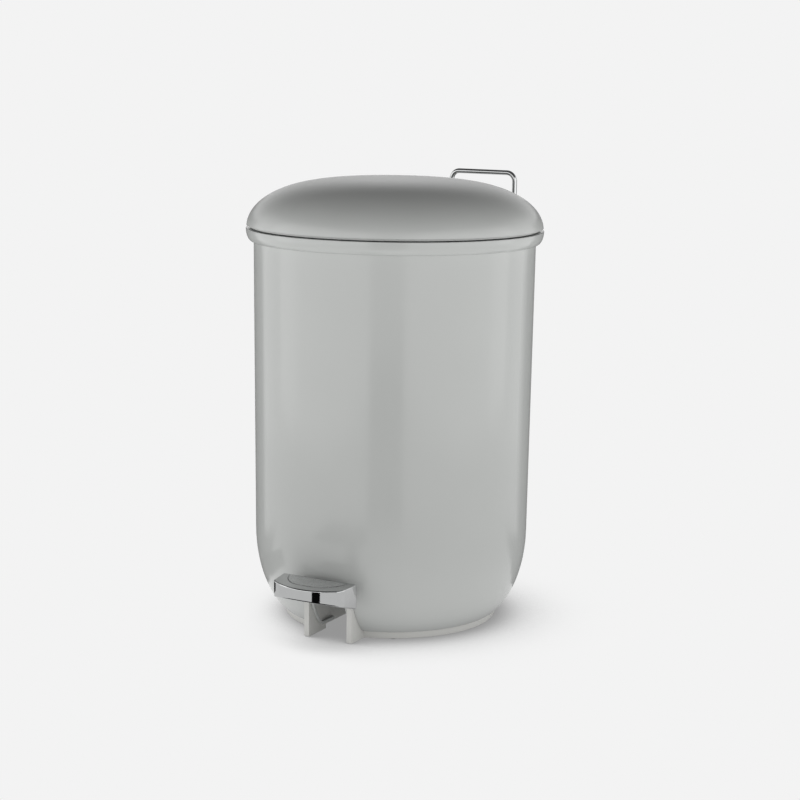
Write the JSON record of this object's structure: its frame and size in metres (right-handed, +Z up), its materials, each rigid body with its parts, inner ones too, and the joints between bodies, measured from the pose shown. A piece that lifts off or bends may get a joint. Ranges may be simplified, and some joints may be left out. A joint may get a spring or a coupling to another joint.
{
  "type": "pedal trash can",
  "caption": "Round pedal-operated trash can with a domed hinged lid, a lift-out inner bucket, a lens-shaped metal-look pedal and a wire handle behind the lid.",
  "frame": {"origin": "centre of the foot ring, on the floor, on the can's vertical axis", "axes": "+Z up along the can's axis; -Y towards the pedal; +Y towards the lid hinge and wire handle; +X to the right of someone facing +Y"},
  "size_m": [0.26, 0.3386, 0.3883],
  "materials": {
    "grey_body": "glossy moulded polypropylene, cool grey",
    "grey_rim": "glossy moulded polypropylene, cool grey",
    "grey_lid": "glossy moulded polypropylene, cool grey",
    "light_grey_base": "satin moulded plastic",
    "bucket_plastic": "satin moulded polypropylene, dark",
    "chrome_cap": "chrome-plated moulding, polished",
    "brushed_inset": "fine brushed metal plate",
    "chrome_wire": "chrome-plated steel wire",
    "zinc_steel": "zinc-plated steel",
    "spring_steel": "blackened spring steel",
    "white_acetal": "natural acetal",
    "dark_nylon": "black moulded nylon",
    "black_rubber": "moulded rubber"
  },
  "bodies": {
    "shell": {"outer_shell": "grey_body", "rim_collar": "grey_rim", "rim_bumpers": "black_rubber", "base_plate": "light_grey_base", "foot_pads": "black_rubber", "base_screws": "zinc_steel", "pedal_pivot_pin": "zinc_steel", "pivot_pin_clips": "spring_steel", "lever_stop_pad": "black_rubber", "lower_rod_guide": "white_acetal", "upper_rod_guide": "white_acetal", "hinge_bracket": "grey_rim", "hinge_pin": "zinc_steel", "bracket_screws": "zinc_steel", "carry_handle": "chrome_wire", "handle_ferrules": "dark_nylon"},
    "pedal": {"pedal_lever": "zinc_steel", "pivot_bushes": "white_acetal", "pedal_cap": "chrome_cap", "pedal_inset": "brushed_inset", "pedal_screws": "zinc_steel"},
    "lifter": {"lift_rod": "zinc_steel", "rod_head": "white_acetal"},
    "lid": {"lid_shell": "grey_lid", "lid_arm": "light_grey_base", "lid_arm_pin": "zinc_steel", "lid_arm_screws": "zinc_steel"},
    "bucket": {"inner_bucket": "bucket_plastic"},
    "bail": {"bucket_bail": "zinc_steel", "bail_grip": "dark_nylon"}
  },
  "joints": [
    {"name": "lid_hinge", "type": "hinge", "parent": "shell", "child": "lid", "pos_m": [0, 0.1335, 0.337], "axis": [-1, 0, 0], "range_deg": [0, 80]},
    {"name": "pedal_pivot", "type": "hinge", "parent": "shell", "child": "pedal", "pos_m": [0, -0.03, 0.017], "axis": [1, 0, 0], "range_deg": [0, 13]},
    {"name": "rod_lift", "type": "slide", "parent": "shell", "child": "lifter", "axis": [0, 0, 1], "range_m": [0, 0.02618]},
    {"name": "bucket_lift", "type": "slide", "parent": "shell", "child": "bucket", "axis": [0, 0, 1], "range_m": [0, 0.008]},
    {"name": "bail_swing", "type": "hinge", "parent": "bucket", "child": "bail", "pos_m": [0, 0, 0.329], "axis": [-1, 0, 0], "range_deg": [0, 20]}
  ],
  "couplings": [
    {"joint": "pedal_pivot", "follows": "lid_hinge", "ratio": 0.16249},
    {"joint": "rod_lift", "follows": "lid_hinge", "m_per_rad": 0.018748}
  ]
}
